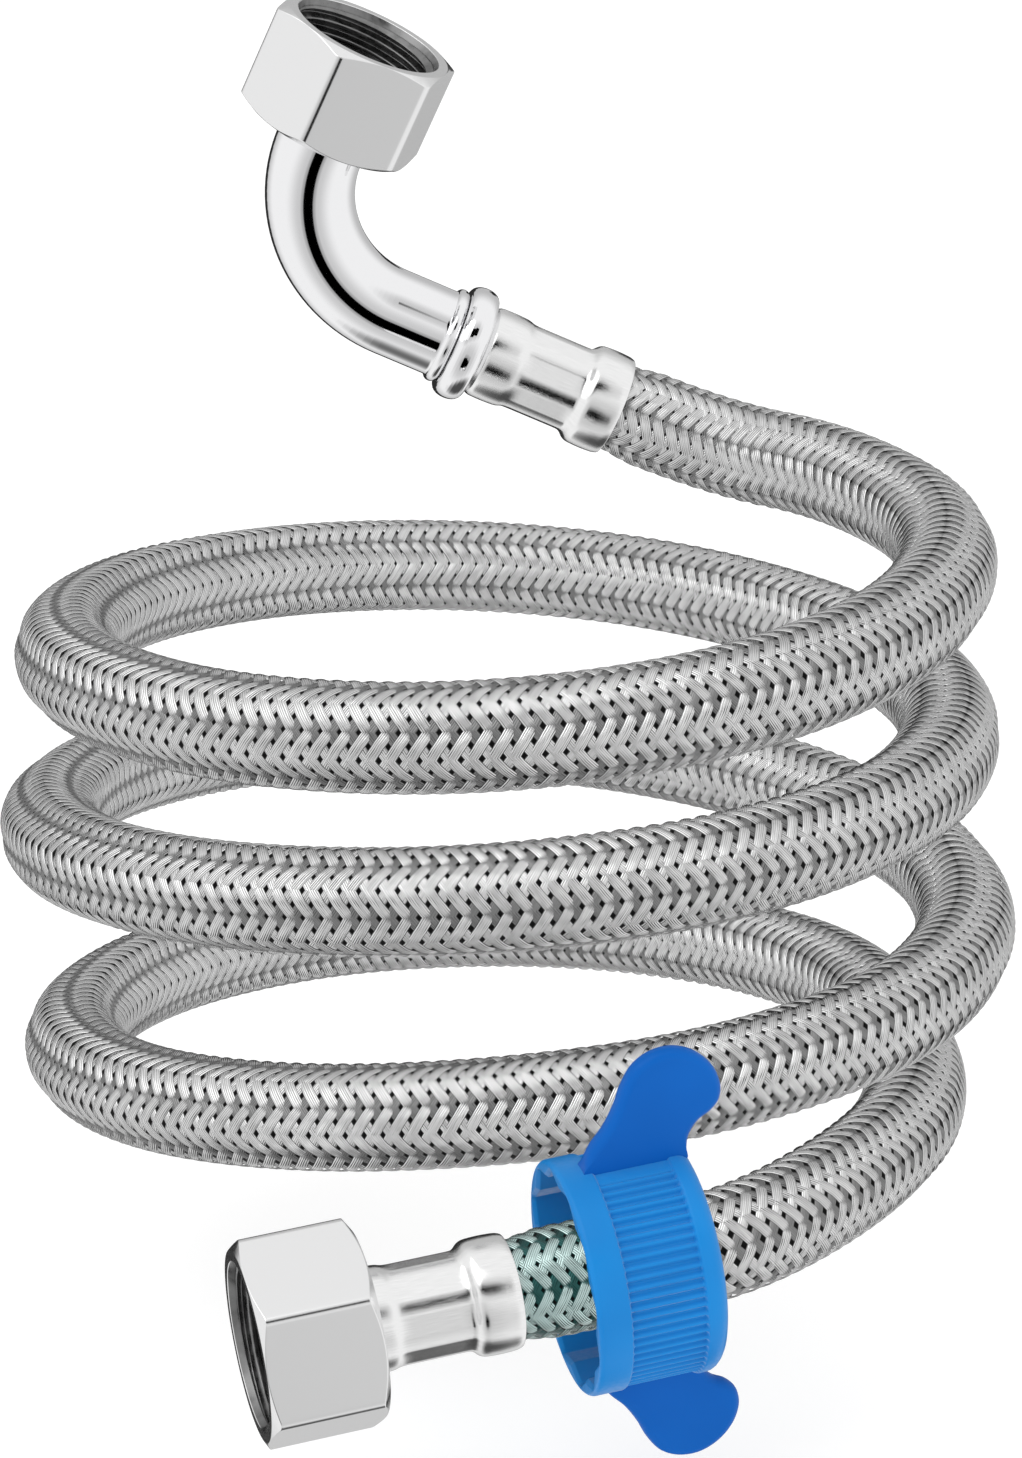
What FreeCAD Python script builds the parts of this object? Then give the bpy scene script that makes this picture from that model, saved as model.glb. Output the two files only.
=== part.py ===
"""Braided supply line: a steel-braided water hose wound in an open coil, with a
90 degree elbow and swivel nut at one end, a straight swivel nut at the other, and
a loose plastic wing spanner on the hose beside the straight nut.

Frame, in millimetres: the origin is the centre of the elbow end's sealing face,
+Z runs up along the axis of the coil, and the elbow end is at the top.
"""
import FreeCAD, Part
import math
import os

V = FreeCAD.Vector
X_RIGHT = V(1, 0, 0)
Z_UP = V(0, 0, 1)

# ---- hose -----------------------------------------------------------------
HOSE_R = 7.0                 # over the braid
BRAID_WALL = 0.7             # two ribbons thick where they cross
TUBE_BORE_R = 4.25
CRIMPED_BRAID_WALL = 0.4

# ---- route of the hose's centreline ----------------------------------------
POINTS_PER_TURN = 12
# radius and height of the coil at every quarter turn, from its first right side
COIL_RADII = [63, 67, 60.5, 59.5, 64.5, 65, 64, 67, 68.5, 56.5, 62, 58, 57.5]
COIL_HEIGHTS = [46.5, 37.5, 32.5, 27.5, 21, 16, 6.5, -1, -8.5, -15.5, -26, -29, -25]
LEAD_IN = (56, 63, 49.5)     # radius, angle from the back in degrees, height
LEAD_OUT = [(65, 118, -24.5), (70, 136, -25.6)]
ELBOW_MOUTH = V(17, 35.5, 57.1)    # where the hose leaves the elbow's ferrule
ELBOW_LEAN = 24.5            # elbow nut's axis from the vertical, towards +X
ELBOW_TIP = 9.0              # and towards the front
ELBOW_RUN = 15.0             # first run of the route, along the ferrule
STRAIGHT_MOUTH = V(1.9, -76.7, -30.9)
STRAIGHT_YAW = 15.5          # straight end's axis, towards the front
STRAIGHT_DROP = 6.0          # and below the level
STRAIGHT_RUN = 31.3          # last run, which the spanner slides on
ARC_SHARE = 0.45             # part of the shorter run that each arc takes

# ---- swivel nuts, G 1/2 --------------------------------------------------------
NUT_FLATS = 24.0
NUT_FRONT = 5.5              # mouth, in front of the sealing face
NUT_BACK = -9.5
THREAD_R = 9.316             # crests of the internal G 1/2 thread
THREAD_ROOT_R = 10.478
LIP_FRONT = -3.6
LIP_BACK = -5.6
RELIEF_R = 9.7               # unthreaded room for the flange and its washer
RECESS_R = 7.4
CHAMFER_RISE = 0.9           # how far the corners' chamfer runs down the flats
SWIVEL_GAP = 0.05            # radial running clearance on the stem
ELBOW_NUT_SPIN = -24.8       # where each nut rests, about its own axis
STRAIGHT_NUT_SPIN = 6.8
STEM_R = 6.35
FLANGE_R = 9.0
FLANGE_FRONT = -2.0
FLANGE_BACK = -3.5
GASKET_HOLE_R = 5.2

# ---- crimp: h runs from the fitting's head to the ferrule's mouth ---------------
FERRULE_LENGTH = 21.5
HEAD_BULGE = (0.6, 5.4, 6.65)      # from, to, radius
NECK = (5.9, 15.4, 6.4)
MOUTH_BULGE = (15.9, 21.0, 7.5)
MOUTH_LIP_R = 7.1
NECK_FLATS = 12.3            # across the eight crimped flats
GRIP_DEPTH = 2.8             # ferrule's grip on the insert's shoulder
SHOULDER_R = 5.55
GRIP_BORES = (5.9, 5.5, 6.5)       # ferrule's bore at head, neck and mouth
HOSE_END_H = 3.0
SWELL_END_H = 25.5           # where the hose is back to its full size
BARB_R = 4.3
BARB_CREST_R = 4.7
BARB_PITCH = 2.6
BARB_COUNT = 3
INSERT_BORE_R = 3.4
INSERT_END_H = 20.5
STRAIGHT_TAIL = 6.6          # from the straight end's sealing face to its ferrule

# ---- elbow --------------------------------------------------------------------
BEND_R = 18.8
TUBE_WALL = 1.25
ELBOW_LEG = 11.7             # straight tube from the sealing face to the bend
AFTER_BEND = 7.9             # and from the bend to the small bead
SMALL_BEAD = (1.8, 7.0)      # width, radius
COLLAR = (4.2, 8.4)
SOCKET_DEPTH = 2.0

# ---- wing spanner -----------------------------------------------------------------
SPANNER_REST = 28.6          # h of its open face at rest
SPANNER_LENGTH = 17.0
SPANNER_R = 15.0
SPANNER_BORE_R = 8.0
SPANNER_FLATS = 24.6
SOCKET_LENGTH = 13.0
FRONT_RIM = 4.2
BACK_RIM = 2.9
RIM_EDGE = 0.5
BACK_EDGE = 1.2
RIB_HEIGHT = 0.35
WING_THICKNESS = 2.8
WING_LEAN = 6.0              # wings' plane from the vertical, towards the front
# a wing's outline from root to root: distance from the axis, distance from the open face
WING_OUTLINE = [(13.4, 3.0), (15.6, 3.4), (17.8, 4.4), (20.2, 6.4), (22.8, 7.9), (25.4, 9.0),
                (27.8, 10.6), (29.2, 13.0), (29.4, 15.8), (28.3, 18.5), (26.2, 20.6), (23.6, 21.6),
                (21.4, 21.4), (19.9, 20.2), (18.8, 18.4), (17.2, 17.2), (15.4, 16.6), (13.4, 16.4)]

os.makedirs("parts", exist_ok=True)
nodes = {}


def unit(vector):
    return FreeCAD.Vector(vector).normalize()


def polar(radius, degrees, height):
    """Point of the coil: angles run from the back (+Y) to the right (+X)."""
    angle = math.radians(degrees)
    return V(radius * math.sin(angle), radius * math.cos(angle), height)


def between(values, place):
    """Smooth (Catmull-Rom) value of a list at a place between its entries."""
    last = len(values) - 1
    i = min(int(place), last - 1)
    f = place - i
    b, c = values[i], values[i + 1]
    a = values[i - 1] if i > 0 else 2 * b - c
    d = values[i + 2] if i + 2 <= last else 2 * c - b
    return b + 0.5 * f * (c - a + f * (2 * a - 5 * b + 4 * c - d + f * (3 * b - a - 3 * c + d)))


# ---- directions of the two ends ---------------------------------------------------
elbow_up = unit(V(math.tan(math.radians(ELBOW_LEAN)), -math.tan(math.radians(ELBOW_TIP)), 1))
elbow_out = unit(X_RIGHT - elbow_up * elbow_up.x)
yaw = math.radians(STRAIGHT_YAW)
drop = math.radians(STRAIGHT_DROP)
straight_out = V(-math.cos(drop) * math.cos(yaw), -math.cos(drop) * math.sin(yaw), -math.sin(drop))

elbow_tail = AFTER_BEND + SMALL_BEAD[0] + COLLAR[0] + FERRULE_LENGTH
bend_end = ELBOW_MOUTH - elbow_out * elbow_tail
bend_start = bend_end - elbow_out * BEND_R + elbow_up * BEND_R
SEAT = bend_start + elbow_up * ELBOW_LEG           # becomes the origin


def shifted(point):
    """A point of the coil's own frame, in the part's frame."""
    return point - SEAT


def coil_points():
    quarters = len(COIL_RADII) - 1
    steps = quarters * POINTS_PER_TURN // 4
    points = []
    for step in range(steps + 1):
        place = step * 4.0 / POINTS_PER_TURN
        degrees = 90 + step * 360.0 / POINTS_PER_TURN
        points.append(polar(between(COIL_RADII, place), degrees, between(COIL_HEIGHTS, place)))
    return points


def route():
    points = [ELBOW_MOUTH, ELBOW_MOUTH + elbow_out * ELBOW_RUN, polar(*LEAD_IN)]
    points += coil_points()
    points += [polar(*place) for place in LEAD_OUT]
    points += [STRAIGHT_MOUTH - straight_out * STRAIGHT_RUN, STRAIGHT_MOUTH]
    return [shifted(point) for point in points]


def tube_path(points, start_skip, end_skip):
    """Straight runs joined by tangent arcs; the ends start a little way along."""
    runs = [(points[i + 1] - points[i]).Length for i in range(len(points) - 1)]
    edges = []
    radii = []
    here = points[0] + unit(points[1] - points[0]) * start_skip
    for i in range(1, len(points) - 1):
        before = unit(points[i] - points[i - 1])
        after = unit(points[i + 1] - points[i])
        half_turn = before.getAngle(after) / 2
        reach = ARC_SHARE * min(runs[i - 1], runs[i])
        radius = reach / math.tan(half_turn)
        radii.append(radius)
        first = points[i] - before * reach
        last = points[i] + after * reach
        inward = unit(after - before)
        middle = points[i] + inward * (radius / math.cos(half_turn) - radius)
        edges.append(Part.LineSegment(here, first).toShape())
        edges.append(Part.Arc(first, middle, last).toShape())
        here = last
    end = points[-1] - unit(points[-1] - points[-2]) * end_skip
    edges.append(Part.LineSegment(here, end).toShape())
    return Part.Wire(edges), radii


def swept(path, direction, radius):
    ring = Part.Wire([Part.Circle(path.Edges[0].Vertexes[0].Point, direction, radius).toShape()])
    return path.makePipeShell([ring], True, False)


def revolved(profile):
    """Solid of revolution about Z from (radius, z) points."""
    corners = [V(radius, 0, z) for radius, z in profile]
    face = Part.Face(Part.makePolygon(corners + corners[:1]))
    return face.revolve(V(0, 0, 0), Z_UP, 360)


def place(shape, origin, direction, spin=0.0):
    """Puts a shape made along +Z at origin, along direction, its X side uppermost.

    spin then turns it about the direction.
    """
    upright = FreeCAD.Rotation(Z_UP, V(0, 0, 0), direction, "ZXY")
    moved = shape.copy()
    moved.Placement = FreeCAD.Placement(origin, upright.multiply(FreeCAD.Rotation(Z_UP, spin)))
    return moved


def prism(flats, sides, z_low, z_high, first_corner=0.0):
    corner_r = flats / 2 / math.cos(math.pi / sides)
    corners = []
    for i in range(sides):
        angle = math.radians(first_corner) + 2 * math.pi * i / sides
        corners.append(V(corner_r * math.cos(angle), corner_r * math.sin(angle), z_low))
    return Part.Face(Part.makePolygon(corners + corners[:1])).extrude(Z_UP * (z_high - z_low))


# ---- pieces, each made along +Z ------------------------------------------------------
def nut():
    """Hexagon nut: thread, lip that pulls on the stem's flange, recess behind."""
    body = prism(NUT_FLATS, 6, NUT_BACK, NUT_FRONT)
    corner_r = NUT_FLATS / 2 / math.cos(math.pi / 6)
    bevel_r = corner_r - CHAMFER_RISE * 1.9
    turned = revolved([(0, NUT_BACK), (bevel_r, NUT_BACK), (corner_r, NUT_BACK + CHAMFER_RISE),
                       (corner_r, NUT_FRONT - CHAMFER_RISE), (bevel_r, NUT_FRONT), (0, NUT_FRONT)])
    body = body.common(turned)
    body = body.cut(Part.makeCylinder(THREAD_R, NUT_FRONT))
    body = body.cut(Part.makeCylinder(RELIEF_R, -LIP_FRONT, V(0, 0, LIP_FRONT)))
    body = body.cut(Part.makeCylinder(STEM_R + SWIVEL_GAP, LIP_FRONT - LIP_BACK, V(0, 0, LIP_BACK)))
    body = body.cut(Part.makeCylinder(RECESS_R, LIP_BACK - NUT_BACK, V(0, 0, NUT_BACK)))
    mouth = Part.makeCone(THREAD_R, THREAD_ROOT_R, THREAD_ROOT_R - THREAD_R,
                          V(0, 0, NUT_FRONT - THREAD_ROOT_R + THREAD_R))
    return body.cut(mouth)


def gasket():
    return revolved([(GASKET_HOLE_R, FLANGE_FRONT), (FLANGE_R, FLANGE_FRONT),
                     (FLANGE_R, 0), (GASKET_HOLE_R, 0)])


def ferrule():
    """Crimped sleeve: h = 0 at the head, the hose comes out at the other end."""
    head_from, head_to, head_r = HEAD_BULGE
    neck_from, neck_to, neck_r = NECK
    mouth_from, mouth_to, mouth_r = MOUTH_BULGE
    head_bore, neck_bore, mouth_bore = GRIP_BORES
    outer = [(head_r - 0.5, 0), (head_r, head_from), (head_r, head_to), (neck_r, neck_from), (neck_r, neck_to),
             (mouth_r, mouth_from), (mouth_r, mouth_to), (MOUTH_LIP_R, FERRULE_LENGTH)]
    inner = [(mouth_bore, FERRULE_LENGTH), (mouth_bore, mouth_from), (neck_bore, neck_to),
             (neck_bore, neck_from), (head_bore, head_to), (head_bore, GRIP_DEPTH),
             (SHOULDER_R, GRIP_DEPTH), (SHOULDER_R, 0)]
    sleeve = revolved(outer + inner)
    flats = prism(NECK_FLATS, 8, neck_from + 0.5, neck_to - 0.5, 22.5)
    band = Part.makeCylinder(neck_r + 1, neck_to - neck_from - 1.0, V(0, 0, neck_from + 0.5))
    return sleeve.cut(band.cut(flats))


def barb_profile():
    """Outline of the insert under the hose, from the shoulder to its tip."""
    outline = [(SHOULDER_R, 0), (SHOULDER_R, GRIP_DEPTH), (BARB_R, GRIP_DEPTH)]
    neck_from = NECK[0]
    for i in range(BARB_COUNT):
        start = neck_from + 1.0 + i * BARB_PITCH
        outline += [(BARB_R, start), (BARB_CREST_R, start), (BARB_R, start + BARB_PITCH * 0.8)]
    return outline + [(BARB_R, INSERT_END_H), (INSERT_BORE_R, INSERT_END_H)]


def straight_insert():
    """Tail of the straight end: flange, swivel stem, shoulder and barbs."""
    flange_front = -STRAIGHT_TAIL - FLANGE_FRONT       # measured back from the ferrule's head
    flange_back = -STRAIGHT_TAIL - FLANGE_BACK
    front = [(INSERT_BORE_R, flange_front), (FLANGE_R, flange_front), (FLANGE_R, flange_back),
             (STEM_R, flange_back), (STEM_R, 0)]
    return revolved(front + barb_profile())


def hose_end(outer):
    """Crimped end of the braid (outer) or of the inner tube, up to the full hose."""
    head_to, neck_from, neck_to, mouth_from = HEAD_BULGE[1], NECK[0], NECK[1], MOUTH_BULGE[0]
    head_bore, neck_bore, mouth_bore = GRIP_BORES
    steps = [(head_bore, HOSE_END_H), (head_bore, head_to), (neck_bore, neck_from), (neck_bore, neck_to),
             (mouth_bore, mouth_from), (mouth_bore, FERRULE_LENGTH)]
    under_braid = [(radius - CRIMPED_BRAID_WALL, h) for radius, h in steps]
    under_braid.append((HOSE_R - BRAID_WALL, SWELL_END_H))
    if outer:
        return revolved(steps + [(HOSE_R, SWELL_END_H)] + under_braid[::-1])
    bore = [(TUBE_BORE_R, SWELL_END_H), (TUBE_BORE_R, INSERT_END_H), (BARB_R, INSERT_END_H)]
    return revolved(under_braid + bore + barb_profile()[-3:1:-1])


def wing(sign):
    """One wing: a flat paddle in the XZ plane, its hook towards the hose (+Z)."""
    points = [V(reach, 0, height) for reach, height in WING_OUTLINE]
    edge = Part.BSplineCurve()
    edge.interpolate(points)
    root = Part.LineSegment(points[-1], points[0]).toShape()
    face = Part.Face(Part.Wire([edge.toShape(), root]))
    paddle = face.extrude(V(0, WING_THICKNESS, 0))
    paddle.translate(V(0, -WING_THICKNESS / 2, 0))
    if sign < 0:
        paddle.rotate(V(0, 0, 0), Z_UP, 180)
    return paddle


def spanner():
    """Wing spanner: twelve-point socket at z = 0, ribbed grip, bore that rides on the hose."""
    rib_low, rib_high = FRONT_RIM, SPANNER_LENGTH - BACK_RIM
    grip_r = SPANNER_R - RIB_HEIGHT
    body = revolved([(0, 0), (SPANNER_R - RIM_EDGE, 0), (SPANNER_R, RIM_EDGE), (SPANNER_R, rib_low),
                     (grip_r, rib_low), (grip_r, rib_high), (SPANNER_R, rib_high),
                     (SPANNER_R, SPANNER_LENGTH - BACK_EDGE), (SPANNER_R - BACK_EDGE, SPANNER_LENGTH),
                     (0, SPANNER_LENGTH)])
    body = body.fuse([wing(1), wing(-1)])
    for corner in (0, 30):         # twelve points, in line with the nut at rest
        first_corner = corner - WING_LEAN - STRAIGHT_NUT_SPIN
        body = body.cut(prism(SPANNER_FLATS, 6, 0, SOCKET_LENGTH, first_corner))
    return body.cut(Part.makeCylinder(SPANNER_BORE_R, SPANNER_LENGTH)).removeSplitter()


def elbow_tube():
    """Flanged tube with a 90 degree bend and a rolled bead near its far end."""
    outer = elbow_pipe(STEM_R)
    inner = elbow_pipe(STEM_R - TUBE_WALL)
    flange = Part.makeCylinder(FLANGE_R, FLANGE_FRONT - FLANGE_BACK, elbow_up * FLANGE_BACK, elbow_up)
    bead_width, bead_r = SMALL_BEAD
    low = bead_r - bead_width / 2
    bead = revolved([(0, 0), (low, 0), (bead_r - 0.25, bead_width * 0.2), (bead_r, bead_width / 2),
                     (bead_r - 0.25, bead_width * 0.8), (low, bead_width), (0, bead_width)])
    bead = place(bead, shifted(bend_end) + elbow_out * AFTER_BEND, elbow_out)
    return outer.fuse([flange, bead]).cut(inner)


def elbow_pipe(radius):
    """Solid rod along the elbow's centreline, from the flange's face to the socket."""
    start = elbow_up * FLANGE_FRONT
    arc_from = shifted(bend_start)
    arc_to = shifted(bend_end)
    centre = arc_from + elbow_out * BEND_R
    middle = centre + unit(arc_from + arc_to - centre * 2) * BEND_R
    end = arc_to + elbow_out * (AFTER_BEND + SMALL_BEAD[0] + SOCKET_DEPTH)
    path = Part.Wire([Part.LineSegment(start, arc_from).toShape(), Part.Arc(arc_from, middle, arc_to).toShape(),
                      Part.LineSegment(arc_to, end).toShape()])
    return swept(path, elbow_up, radius)


def elbow_insert():
    """Collar over the tube's end and barbed tail inside the hose; h = 0 at the ferrule."""
    width, collar_r = COLLAR
    collar = [(STEM_R, -width), (collar_r - 1.2, -width), (collar_r - 0.35, -width * 0.8),
              (collar_r, -width / 2), (collar_r - 0.35, -width * 0.2), (collar_r - 1.2, 0)]
    bore = [(INSERT_BORE_R, SOCKET_DEPTH - width), (STEM_R, SOCKET_DEPTH - width)]
    return revolved(collar + barb_profile() + bore)


# ---- assembly ----------------------------------------------------------------------
hose_route = route()
hose_path, bend_radii = tube_path(hose_route, SWELL_END_H - FERRULE_LENGTH, SWELL_END_H - FERRULE_LENGTH)
elbow_head = shifted(ELBOW_MOUTH) - elbow_out * FERRULE_LENGTH
straight_head = shifted(STRAIGHT_MOUTH) + straight_out * FERRULE_LENGTH
straight_in = straight_out * -1
straight_seat = straight_head + straight_out * STRAIGHT_TAIL

outside = swept(hose_path, elbow_out, HOSE_R)
under_braid = swept(hose_path, elbow_out, HOSE_R - BRAID_WALL)
bore = swept(hose_path, elbow_out, TUBE_BORE_R)
ends = [(elbow_head, elbow_out), (straight_head, straight_in)]

braid = outside.cut(under_braid).fuse([place(hose_end(True), *end) for end in ends])
inner = under_braid.cut(bore).fuse([place(hose_end(False), *end) for end in ends])
nodes["braid_sleeve"] = braid
nodes["inner_tube"] = inner

nodes["elbow_tube"] = elbow_tube()
nodes["elbow_insert"] = place(elbow_insert(), elbow_head, elbow_out)
nodes["elbow_ferrule"] = place(ferrule(), elbow_head, elbow_out)
nodes["elbow_gasket"] = place(gasket(), V(0, 0, 0), elbow_up)
nodes["elbow_nut"] = place(nut(), V(0, 0, 0), elbow_up, ELBOW_NUT_SPIN)

nodes["straight_insert"] = place(straight_insert(), straight_head, straight_in)
nodes["straight_ferrule"] = place(ferrule(), straight_head, straight_in)
nodes["straight_gasket"] = place(gasket(), straight_seat, straight_out)
nodes["straight_nut"] = place(nut(), straight_seat, straight_out, STRAIGHT_NUT_SPIN)
spanner_at = straight_head + straight_in * SPANNER_REST
nodes["wing_spanner"] = place(spanner(), spanner_at, straight_in, WING_LEAN)

for name, shape in nodes.items():
    solids = shape.Solids
    if len(solids) != 1:
        raise SystemExit("%s has %d solids" % (name, len(solids)))
    solid = solids[0]
    if not solid.isValid():
        raise SystemExit("%s is not valid" % name)
    solid.exportStep("parts/%s.step" % name)
    box = solid.BoundBox
    print("%-17s volume %9.1f  box %7.1f %7.1f %7.1f to %7.1f %7.1f %7.1f" % (
        name, solid.Volume, box.XMin, box.YMin, box.ZMin, box.XMax, box.YMax, box.ZMax))

length = hose_path.Length
print("hose: free length %.0f, smallest bend radii %s" % (length, [round(r) for r in sorted(bend_radii)[:6]]))
section = math.pi * (HOSE_R ** 2 - (HOSE_R - BRAID_WALL) ** 2)
volume = outside.Volume - under_braid.Volume
print("braid: swept volume %.0f, section times length %.0f" % (volume, section * length))
print("seats: straight at", straight_seat, "axis", straight_out, "elbow axis", elbow_up)
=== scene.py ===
import math

import bpy
import numpy as np
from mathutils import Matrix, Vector


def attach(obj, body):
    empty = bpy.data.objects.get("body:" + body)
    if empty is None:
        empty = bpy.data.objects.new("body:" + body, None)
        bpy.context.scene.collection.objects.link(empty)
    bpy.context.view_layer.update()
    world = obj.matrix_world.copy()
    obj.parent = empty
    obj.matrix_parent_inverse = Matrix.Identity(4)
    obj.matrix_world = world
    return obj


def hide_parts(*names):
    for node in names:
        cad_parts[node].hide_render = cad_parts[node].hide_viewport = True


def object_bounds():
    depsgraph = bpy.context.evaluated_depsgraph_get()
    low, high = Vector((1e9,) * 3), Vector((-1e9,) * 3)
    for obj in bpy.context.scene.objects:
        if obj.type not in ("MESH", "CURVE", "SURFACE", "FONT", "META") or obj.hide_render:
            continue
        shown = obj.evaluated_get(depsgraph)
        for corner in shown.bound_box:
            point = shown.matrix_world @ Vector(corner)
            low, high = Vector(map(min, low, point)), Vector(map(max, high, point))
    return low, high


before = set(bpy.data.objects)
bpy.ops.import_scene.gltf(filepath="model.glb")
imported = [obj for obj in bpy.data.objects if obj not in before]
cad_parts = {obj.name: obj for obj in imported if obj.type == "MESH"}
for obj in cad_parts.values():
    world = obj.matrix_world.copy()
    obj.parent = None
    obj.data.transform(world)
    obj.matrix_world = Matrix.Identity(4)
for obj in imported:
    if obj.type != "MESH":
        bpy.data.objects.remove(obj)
cad_low, cad_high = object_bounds()

MM = 0.001

# ---- hose's route in millimetres, as in the part's source apart from SPANNER_RUN -----
POINTS_PER_TURN = 12
# radius and height of the coil at every quarter turn, from its first right side
COIL_RADII = [63, 67, 60.5, 59.5, 64.5, 65, 64, 67, 68.5, 56.5, 62, 58, 57.5]
COIL_HEIGHTS = [46.5, 37.5, 32.5, 27.5, 21, 16, 6.5, -1, -8.5, -15.5, -26, -29, -25]
LEAD_IN = (56, 63, 49.5)       # radius, angle from the back in degrees, height
LEAD_OUT = [(65, 118, -24.5), (70, 136, -25.6)]
ELBOW_MOUTH = Vector((17, 35.5, 57.1))         # where the hose leaves the elbow's ferrule
ELBOW_LEAN, ELBOW_TIP = math.radians(24.5), math.radians(9)
ELBOW_RUN = 15
STRAIGHT_MOUTH = Vector((1.9, -76.7, -30.9))
STRAIGHT_YAW, STRAIGHT_DROP = math.radians(15.5), math.radians(6)
STRAIGHT_RUN = 31.3
SPANNER_RUN = 15.6             # extra point on the stretch that the spanner slides on

# ---- fittings and spanner in millimetres; sizes that the CAD has too are the same ----
NUT_FLATS, NUT_FRONT, NUT_BACK = 24.0, 5.5, -9.5
ELBOW_SPIN, STRAIGHT_SPIN = math.radians(-24.8), math.radians(6.8)     # where each nut rests
THREAD_R, THREAD_ROOT_R, THREAD_PITCH = 9.316, 10.478, 1.814
LIP_FRONT, LIP_BACK = -3.6, -5.6
RELIEF_R, RECESS_R = 9.7, 7.4
STEM_R, FLANGE_R, FLANGE_FRONT, FLANGE_BACK = 6.35, 9.0, -2.0, -3.5
FERRULE_LENGTH = 21.5
NECK_FLATS, NECK_CORNER_R = 12.3, 6.32     # the ferrules' crimped neck
ELBOW_CRIMP, STRAIGHT_CRIMP = math.radians(8.5), math.radians(15)     # its corner; 22.5 in the CAD
GRIP_DEPTH, SHOULDER_R = 2.8, 5.55
BARB_R, BARB_CREST_R, BARB_PITCH, BARB_COUNT = 4.3, 4.7, 2.6, 3
INSERT_BORE_R, INSERT_END_H = 3.4, 20.5
STRAIGHT_TAIL = 6.6
BEND_R, ELBOW_BORE_R, ELBOW_LEG, AFTER_BEND = 18.8, 5.1, 11.7, 7.9
BEAD_WIDTH, BEAD_R = 1.8, 7.0
COLLAR_WIDTH, COLLAR_R, SOCKET_DEPTH = 4.2, 8.4, 2.0
SPANNER_REST, SPANNER_LENGTH, SPANNER_R, SPANNER_BORE_R = 28.6, 17.0, 15.0, 8.0
SPANNER_FLATS, SOCKET_LENGTH, FRONT_RIM, BACK_RIM, RIB_HEIGHT = 24.6, 13.0, 4.2, 2.9, 0.35
RIBS, POINTS_PER_RIB = 72, 10
WING_THICKNESS, WING_EASE, WING_LEAN = 2.8, 1.15, math.radians(6)
WING_OUTLINE = [(13.4, 3.0), (15.6, 3.4), (17.8, 4.4), (20.2, 6.4), (22.8, 7.9), (25.4, 9.0),
                (27.8, 10.6), (29.2, 13.0), (29.4, 15.8), (28.3, 18.5), (26.2, 20.6), (23.6, 21.6),
                (21.4, 21.4), (19.9, 20.2), (18.8, 18.4), (17.2, 17.2), (15.4, 16.6), (13.4, 16.4)]

# ---- the plait ---------------------------------------------------------------------
CARRIERS = 24                  # ribbons, half of them each way round
LAY_LENGTH = 27.4              # along the hose for one turn of a ribbon
RIBBON_WIDTH = 1.5
RIBBON_CROWN = 0.2
PLAIT_R = 6.63                 # ribbons' own surface, before crown and weave
PLAIT_RISE = 0.17              # over and under
PLAIT_MOUTH_R = 6.05           # squeezed in the ferrule
SWELL = 5.5                    # length over which it opens out after the ferrule
TUCK = 3.0                     # ribbons reach this far into the ferrules
PLAIT_STEP = 0.45
CORE_R = 6.28

# ---- floor, light and camera; places in metres or degrees --------------------------
FLOOR_DROP = 0.006             # below the part, clear of the spanner when it is over the nut
KEY_AT, KEY_AIM = Vector((-0.35, -0.35, 0.55)), Vector((0, 0, -0.05))
KEY_SIZE, KEY_POWER = (0.8, 0.6), 1.6
CAMERA_AT = Vector((2.0, -554.0, 184.6))      # millimetres, in the coil's frame
CAMERA_TILT, CAMERA_LENS = math.radians(90 - 16.63), 102.9


# ---- placing -----------------------------------------------------------------------
def polar(radius, degrees, height):
    """Point of the coil: angles run from the back (+Y) to the right (+X)."""
    angle = math.radians(degrees)
    return Vector((radius * math.sin(angle), radius * math.cos(angle), height))


def catmull_rom(a, b, c, d, f):
    """Smooth curve through a, b, c and d, at the share f of the way from b to c."""
    return b + 0.5 * f * (c - a + f * (2 * a - 5 * b + 4 * c - d + f * (3 * b - a - 3 * c + d)))


def between(values, place):
    """Smooth value of a list at a place between its entries."""
    last = len(values) - 1
    i = min(int(place), last - 1)
    b, c = values[i], values[i + 1]
    a = values[i - 1] if i > 0 else 2 * b - c
    d = values[i + 2] if i + 2 <= last else 2 * c - b
    return catmull_rom(a, b, c, d, place - i)


elbow_up = Vector((math.tan(ELBOW_LEAN), -math.tan(ELBOW_TIP), 1)).normalized()
elbow_out = (Vector((1, 0, 0)) - elbow_up * elbow_up.x).normalized()
straight_out = Vector((-math.cos(STRAIGHT_DROP) * math.cos(STRAIGHT_YAW),
                       -math.cos(STRAIGHT_DROP) * math.sin(STRAIGHT_YAW), -math.sin(STRAIGHT_DROP)))
elbow_tail = AFTER_BEND + BEAD_WIDTH + COLLAR_WIDTH + FERRULE_LENGTH
bend_end = ELBOW_MOUTH - elbow_out * elbow_tail
bend_start = bend_end - elbow_out * BEND_R + elbow_up * BEND_R
seat = bend_start + elbow_up * ELBOW_LEG

elbow_mouth, straight_mouth = ELBOW_MOUTH - seat, STRAIGHT_MOUTH - seat
elbow_head = elbow_mouth - elbow_out * FERRULE_LENGTH
straight_head = straight_mouth + straight_out * FERRULE_LENGTH
straight_in = -straight_out
straight_seat = straight_head + straight_out * STRAIGHT_TAIL
spanner_at = straight_head + straight_in * SPANNER_REST


def axes(direction, spin=0.0):
    """Local X, Y, Z with Z along direction and X uppermost, then turned by spin."""
    z = direction.normalized()
    x = (Vector((0, 0, 1)) - z * z.z).normalized()
    y = z.cross(x)
    return x * math.cos(spin) + y * math.sin(spin), y * math.cos(spin) - x * math.sin(spin), z


def placed(local, origin, direction, spin=0.0):
    """Local points (..., 3) in millimetres, in the row frame."""
    x, y, z = (np.array(v) for v in axes(direction, spin))
    return np.array(origin) + local[..., :1] * x + local[..., 1:2] * y + local[..., 2:3] * z


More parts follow.
